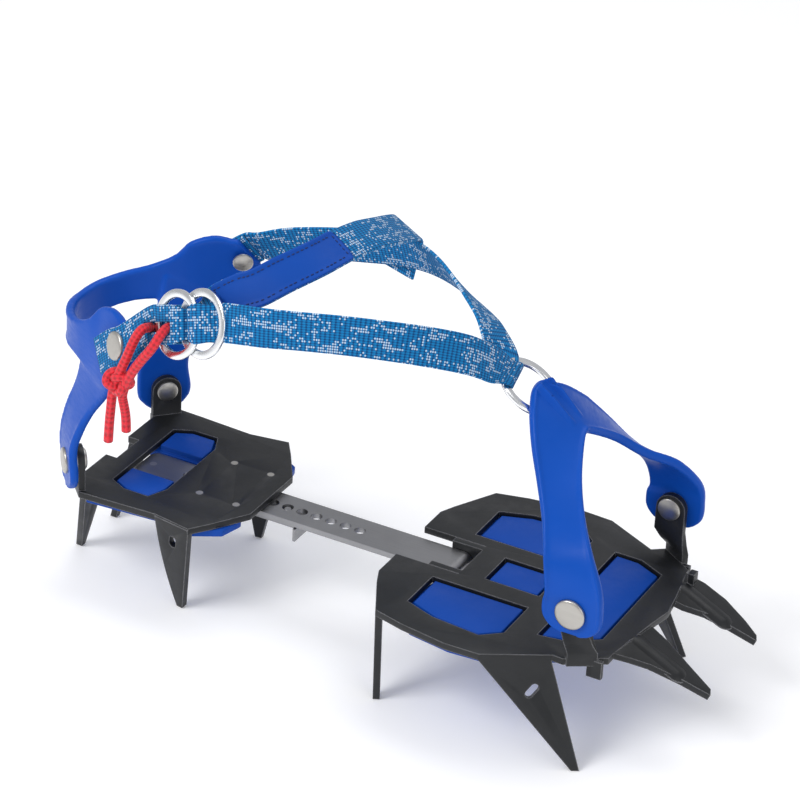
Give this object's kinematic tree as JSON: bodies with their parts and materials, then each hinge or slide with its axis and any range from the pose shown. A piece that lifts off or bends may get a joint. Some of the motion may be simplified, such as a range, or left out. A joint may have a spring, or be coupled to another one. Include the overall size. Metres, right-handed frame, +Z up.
{
  "type": "crampon",
  "caption": "Strap-on crampon for a boot: pressed steel toe and heel frames with points on an adjustable link bar, plastic baskets and a double-ring webbing strap.",
  "frame": {"origin": "on the ground under the middle of the whole object", "axes": "+X towards the toe, +Y towards the inner side of the foot, +Z up from the tips of the points"},
  "size_m": [0.3104, 0.1278, 0.1869],
  "materials": {
    "frame_steel": "satin black powder coat over spring steel, worn at the edges",
    "bar_steel": "rolled spring steel",
    "rivet_steel": "zinc-plated, satin",
    "ring_steel": "bright zinc plate",
    "basket_plastic": "moulded flexible plastic, soft sheen",
    "plate_plastic": "flexible moulded plastic",
    "webbing": "woven webbing with crosswise ribs",
    "label": "sewn flexible patch",
    "cord": "braided cord"
  },
  "bodies": {
    "front_section": {"front_frame": "frame_steel", "front_antiball": "plate_plastic", "pivot_pin": "rivet_steel", "toe_rivets": "rivet_steel", "toe_washers": "rivet_steel"},
    "bar": {"link_bar": "bar_steel", "bar_stop": "rivet_steel"},
    "heel_section": {"heel_frame": "frame_steel", "bar_guide": "bar_steel", "guide_rivets": "rivet_steel", "detent_spring": "bar_steel", "detent_rivets": "rivet_steel", "heel_antiball": "plate_plastic", "heel_basket": "basket_plastic", "heel_rivets": "rivet_steel", "heel_washers": "rivet_steel", "strap_rivets": "rivet_steel", "heel_tab": "webbing", "strap_buckle": "webbing", "strap_instep": "webbing", "strap_tip": "webbing", "label_patch": "label", "strap_main": "webbing", "strap_inner": "webbing", "cord_rear": "cord", "cord_front": "cord", "cord_knot": "cord", "tail_rear": "cord", "tail_front": "cord"},
    "toe_basket": {"toe_basket": "basket_plastic"},
    "front_ring": {"front_ring": "ring_steel", "strap_fold": "webbing"},
    "ring_a": {"ring_a": "ring_steel"},
    "ring_b": {"ring_b": "ring_steel"}
  },
  "joints": [
    {"name": "bar_pivot", "type": "hinge", "parent": "front_section", "child": "bar", "pos_m": [0.03002, 0.00309, 0.0388], "axis": [0, 1, 0], "range_deg": [-6, 6], "deforming": ["strap_main", "strap_inner", "strap_instep"]},
    {"name": "heel_slide", "type": "slide", "parent": "bar", "child": "heel_section", "axis": [1, 0, 0], "range_m": [-0.021, 0.021], "deforming": ["detent_spring", "strap_main", "strap_inner", "strap_instep"]},
    {"name": "toe_basket_pivot", "type": "hinge", "parent": "front_section", "child": "toe_basket", "pos_m": [0.10443, 0.00709, 0.0682], "axis": [0, 1, 0], "range_deg": [-10, 20], "deforming": ["strap_fold", "strap_main", "strap_inner"]},
    {"name": "front_ring_swing", "type": "hinge", "parent": "toe_basket", "child": "front_ring", "pos_m": [0.0673, 0.00609, 0.12604], "axis": [0, 1, 0], "range_deg": [-20, 0], "deforming": ["strap_fold"]},
    {"name": "ring_a_tilt", "type": "hinge", "parent": "heel_section", "child": "ring_a", "pos_m": [-0.07243, -0.05133, 0.1492], "axis": [0.2784, -0.3983, -0.874], "range_deg": [-3, 10], "deforming": ["heel_tab", "strap_buckle"]},
    {"name": "ring_b_tilt", "type": "hinge", "parent": "heel_section", "child": "ring_b", "pos_m": [-0.07243, -0.05133, 0.1492], "axis": [0.2784, -0.3983, -0.874], "range_deg": [-3, 10], "deforming": ["heel_tab", "strap_buckle"]}
  ],
  "couplings": [
    {"joint": "ring_b_tilt", "follows": "ring_a_tilt", "ratio": 1}
  ]
}
